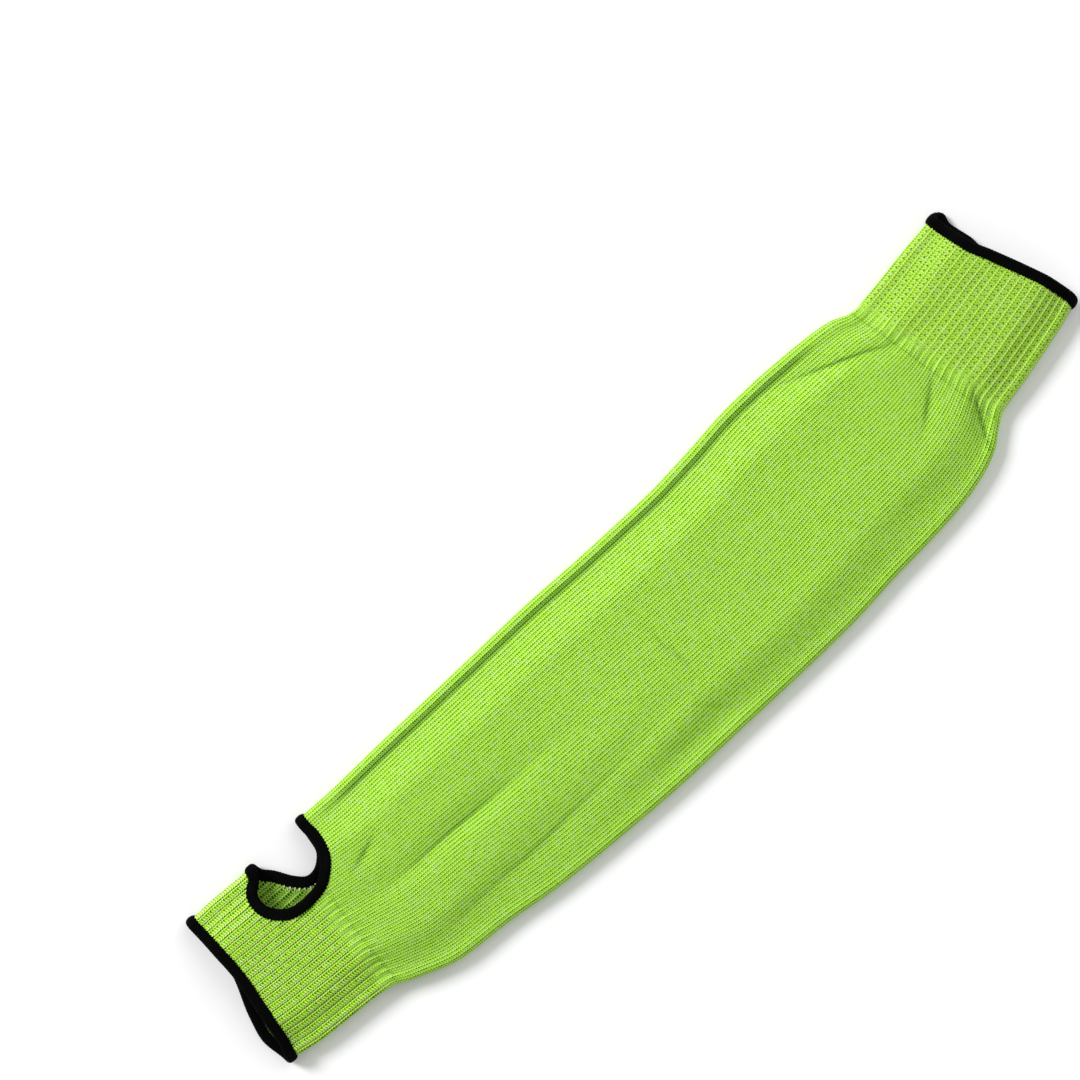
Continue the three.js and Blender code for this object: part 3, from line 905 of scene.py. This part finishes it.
def cuff_material(groups, name, pattern, shade, body_shade):
    """Rib knit that turns into the body's plain knit where the two meet."""
    knit = bpy.context.scene.sleeve_knit
    material, n, shader, rib, course = new_material(name)
    crease, fade = marks_of(n)
    creased = n.math("MULTIPLY", crease, CREASE_SHADE)
    first_line, second_line = pattern["lines"]
    ribs = n.use(
        groups["ribs"], Rib=rib, Course=n.math("DIVIDE", course, float(pattern["courses_per_dot"])),
        Dot_length=1.0 / pattern["courses_per_dot"], First_line=first_line, Second_line=second_line,
    )
    stitch = n.use(groups["stitch"], Wale=ribs["Wale"], Course=course)
    # Painted shade along the two fine lines, in the holes and along the creases
    line_gap = n.math("MULTIPLY", stitch["Gap"], ribs["Plain"])
    shown = n.math("MULTIPLY", line_gap, pattern["line_depth"])
    rib_gap = n.math("ADD", n.math("MAXIMUM", shown, ribs["Dots"]), creased)
    rib_colour = yarn_and_light_colour(n, groups, ribs["Wale"], course, stitch, rib_gap, shade)
    wale = n.math("MULTIPLY", rib, knit.wales / RIB_COUNT)
    body_course = n.math("MULTIPLY", course, knit.cuff_course / knit.body_course)
    plain = n.use(groups["stitch"], Wale=wale, Course=body_course)
    body_gap = n.math("ADD", plain["Gap"], creased)
    plain_colour = yarn_and_light_colour(n, groups, wale, body_course, plain, body_gap, body_shade)
    n.put(shader.inputs["Base Color"], n.blend(fade, rib_colour, plain_colour))
    matte(shader, KNIT_ROUGHNESS, KNIT_SHINE)
    raised = n.math("SUBTRACT", stitch["Height"], rib_gap)
    change = n.math("MULTIPLY", fade, n.math("SUBTRACT", plain["Height"], raised))
    raise_stitches(n, shader, n.math("ADD", raised, change), STITCH_DEPTH)
    return material


def cuff_materials(groups, name, pattern):
    """Face and reverse of a cuff."""
    labels = (name, name + " reverse")
    # The reverse takes the darker shade: painted shade of the tube's inside
    shades = zip(labels, CUFF_SHADES, BODY_SHADES)
    return [cuff_material(groups, label, pattern, *pair) for label, *pair in shades]


def shaded(colour, shade):
    return (*(min(part * shade, 1.0) for part in colour), 1.0)


def thread_material():
    form = bpy.context.scene.sleeve_edge
    material, n, shader, wrap, lap = new_material("Black overlock thread")
    twist = n.math("MULTIPLY", n.math("ADD", n.math("MULTIPLY", wrap, 4.0), lap), 2 * math.pi * 9)
    ply = n.math("MULTIPLY", n.math("ADD", n.math("SINE", twist), 1.0), 0.5)
    strand = n.vector(n.math("MULTIPLY", wrap, 5.0), n.math("MULTIPLY", lap, 30.0), 0.0)
    fibre = n.noise(strand, 1.5)
    # Painted shade between the strands, lighter on the twist's ridges
    light = n.math("MULTIPLY", n.math("ADD", ply, fibre), 0.35)
    n.put(shader.inputs["Base Color"], n.blend(light, (*THREAD_SHADE, 1), (*form.black, 1)))
    matte(shader, 0.8, 0.03)
    raise_stitches(n, shader, n.math("ADD", ply, fibre), THREAD_DEPTH)
    return material


def plain_material(name, colour, roughness):
    material = bpy.data.materials.new(name)
    material.use_nodes = True
    shader = material.node_tree.nodes["Principled BSDF"]
    shader.inputs["Base Color"].default_value = (*colour, 1)
    matte(shader, roughness, 0.15)
    return material


def shared_groups():
    """The shader groups, built once and shared by the knit materials."""
    makers = {
        "stitch": ("Plain stitch", stitch_group),
        "ribs": ("Rib marks", rib_group),
        "yarn": ("Marled_and_lit yarn", yarn_and_light_group),
    }
    made = bpy.data.node_groups
    return {key: made.get(name) or make(name) for key, (name, make) in makers.items()}


# Operators, one for each piece or group of like pieces

class SLEEVE_OT_body(bpy.types.Operator):
    """Knit the plain tube of the sleeve"""

    bl_idname = "sleeve.body"
    bl_label = "Body knit"

    def execute(self, context):
        knit = context.scene.sleeve_knit
        groups = shared_groups()
        ends = (
            lambda around: np.full_like(around, HAND_CUFF_END),
            lambda around: np.full_like(around, UPPER_CUFF_START),
        )
        labels = ("Lime plain knit", "Lime knit reverse")
        # The reverse is darkened as painted shade of the tube's inside
        materials = [body_material(groups, *pair) for pair in zip(labels, BODY_SHADES)]
        knit_object(
            BODY_NODES, ends, BODY_GRID, knit.wales, knit.body_course, materials
        )
        return {"FINISHED"}


class SLEEVE_OT_hand_cuff(bpy.types.Operator):
    """Knit the ribbed cuff at the hand"""

    bl_idname = "sleeve.hand_cuff"
    bl_label = "Hand cuff"

    def execute(self, context):
        knit = context.scene.sleeve_knit
        ends = (hand_edge, lambda around: np.full_like(around, HAND_CUFF_END))
        materials = cuff_materials(shared_groups(), "Hand cuff rib", HAND_RIB)
        knit_object(
            ["hand_cuff"], ends, CUFF_GRID, RIB_COUNT, knit.cuff_course, materials,
            seam=-1,
        )
        return {"FINISHED"}


class SLEEVE_OT_upper_cuff(bpy.types.Operator):
    """Knit the ribbed cuff at the upper arm"""

    bl_idname = "sleeve.upper_cuff"
    bl_label = "Upper cuff"

    def execute(self, context):
        knit = context.scene.sleeve_knit
        ends = (lambda around: np.full_like(around, UPPER_CUFF_START), upper_edge)
        materials = cuff_materials(shared_groups(), "Upper cuff rib", UPPER_RIB)
        knit_object(
            ["upper_cuff"], ends, CUFF_GRID, RIB_COUNT, knit.cuff_course, materials,
            seam=0,
        )
        return {"FINISHED"}


class SLEEVE_OT_edges(bpy.types.Operator):
    """Wrap black thread round the two mouths and the thumb hole"""

    bl_idname = "sleeve.edges"
    bl_label = "Overlocked edges"

    def execute(self, context):
        material = thread_material()
        rims = {
            "hand_binding": (lambda t: np.stack((hand_edge(t), t), axis=-1), 1),
            "upper_binding": (lambda t: np.stack((upper_edge(t), t), axis=-1), -1),
            "thumb_binding": (thumb_edge, -1),
        }
        for node, (edge, facing) in rims.items():
            knob_at = KNOB_AT if node == "upper_binding" else None
            ring_object(node, edge, facing, material, knob_at)
        return {"FINISHED"}


class SLEEVE_OT_needle_threads(bpy.types.Operator):
    """Lay the pale needle threads that show at the lower lip of the thumb hole"""

    bl_idname = "sleeve.needle_threads"
    bl_label = "Needle threads"

    def execute(self, context):
        form = context.scene.sleeve_edge
        bm = bmesh.new()
        stops = np.linspace(*NEEDLE_TURNS, NEEDLE_COUNT)
        lip = form.width - EDGE_SLACK - BINDING_LIP
        starts, tips = (
            ring_places(thumb_edge, stops, np.full_like(stops, reach), np.full_like(stops, side))
            for reach, side in zip((lip - NEEDLE_UNDER, lip + NEEDLE_OUT), NEEDLE_SIDES)
        )
        for start, tip in zip(starts, tips):
            way = Vector(tip - start)
            turn = way.to_track_quat("Z", "Y").to_matrix().to_4x4()
            turn.translation = Vector((start + tip) / 2)
            bmesh.ops.create_cone(
                bm, cap_ends=True, cap_tris=False, segments=8, radius1=NEEDLE_RADII[0],
                radius2=NEEDLE_RADII[1], depth=way.length, matrix=turn,
            )
        material = plain_material("Pale needle thread", form.needle, 0.7)
        finish_object(bm, "needle_threads", [material], None)
        return {"FINISHED"}


class SLEEVE_OT_stage(bpy.types.Operator):
    """Set the floor, the lights and the camera"""

    bl_idname = "sleeve.stage"
    bl_label = "Stage"

    def execute(self, context):
        stage = context.scene.sleeve_stage
        low, high = (Vector(corner) for corner in FRAME_BOX)
        centre = (low + high) / 2
        centre.z = 0
        self.lay_floor(context, stage)
        for name, light in LIGHTS.items():
            self.light(context, name, *light)
        self.light_room(context)
        self.set_camera(context, stage, centre + Vector(AIM))
        context.scene.view_settings.view_transform = "Standard"
        return {"FINISHED"}

    def lay_floor(self, context, stage):
        bm = bmesh.new()
        bmesh.ops.create_grid(bm, x_segments=1, y_segments=1, size=FLOOR_HALF)
        mesh = bpy.data.meshes.new("floor")
        bm.to_mesh(mesh)
        bm.free()
        mesh.materials.append(plain_material("Pale floor", stage.floor, 0.9))
        floor = bpy.data.objects.new("floor", mesh)
        floor.location.z = -FLOOR_DROP
        context.collection.objects.link(floor)

    def light(self, context, name, side, height, strength, softness):
        """A soft distant light from a side of the floor, its height and softness in degrees."""
        lamp = bpy.data.lights.new(name, "SUN")
        lamp.energy = strength
        lamp.angle = math.radians(softness)
        source = bpy.data.objects.new(name, lamp)
        level = Vector((*side, 0)).normalized() * math.cos(math.radians(height))
        towards = level + Vector((0, 0, math.sin(math.radians(height))))
        source.rotation_euler = towards.to_track_quat("Z", "Y").to_euler()
        context.collection.objects.link(source)

    def light_room(self, context):
        world = bpy.data.worlds.new("Soft room light")
        world.use_nodes = True
        background = world.node_tree.nodes["Background"]
        background.inputs["Color"].default_value = (1, 1, 1, 1)
        background.inputs["Strength"].default_value = ROOM_LIGHT
        context.scene.world = world

    def set_camera(self, context, stage, aim):
        """The camera looks straight down, far enough to see the view's width."""
        lens = bpy.data.cameras.new("Photo view")
        lens.lens = stage.lens
        lens.sensor_width = 36
        camera = bpy.data.objects.new("Photo view", lens)
        distance = stage.view_width * stage.lens / lens.sensor_width
        camera.location = aim + Vector((0, 0, distance))
        camera.rotation_euler = (0, 0, stage.heading)
        context.collection.objects.link(camera)
        context.scene.camera = camera


class SLEEVE_PT_panel(bpy.types.Panel):
    """The sleeve's settings and pieces"""

    bl_idname = "SLEEVE_PT_panel"
    bl_label = "Knitted arm sleeve"
    bl_space_type = "VIEW_3D"
    bl_region_type = "UI"
    bl_category = "Sleeve"

    def draw(self, context):
        for name in SETTINGS:
            settings = getattr(context.scene, name)
            for key in settings.__annotations__:
                self.layout.prop(settings, key)
        for operator in OPERATORS:
            self.layout.operator(operator.bl_idname)


SETTINGS = {
    "sleeve_knit": KnitSettings,
    "sleeve_edge": EdgeSettings,
    "sleeve_stage": StageSettings,
}
OPERATORS = (
    SLEEVE_OT_body,
    SLEEVE_OT_hand_cuff,
    SLEEVE_OT_upper_cuff,
    SLEEVE_OT_edges,
    SLEEVE_OT_needle_threads,
    SLEEVE_OT_stage,
)


def register():
    for cls in (*SETTINGS.values(), *OPERATORS, SLEEVE_PT_panel):
        bpy.utils.register_class(cls)
    for name, cls in SETTINGS.items():
        setattr(bpy.types.Scene, name, PointerProperty(type=cls))


def unregister():
    for name in SETTINGS:
        delattr(bpy.types.Scene, name)
    for cls in (SLEEVE_PT_panel, *reversed(OPERATORS), *SETTINGS.values()):
        bpy.utils.unregister_class(cls)


def main():
    register()
    bpy.ops.sleeve.body()
    bpy.ops.sleeve.hand_cuff()
    bpy.ops.sleeve.upper_cuff()
    bpy.ops.sleeve.edges()
    bpy.ops.sleeve.needle_threads()
    bpy.ops.sleeve.stage()


if __name__ == "__main__":
    main()
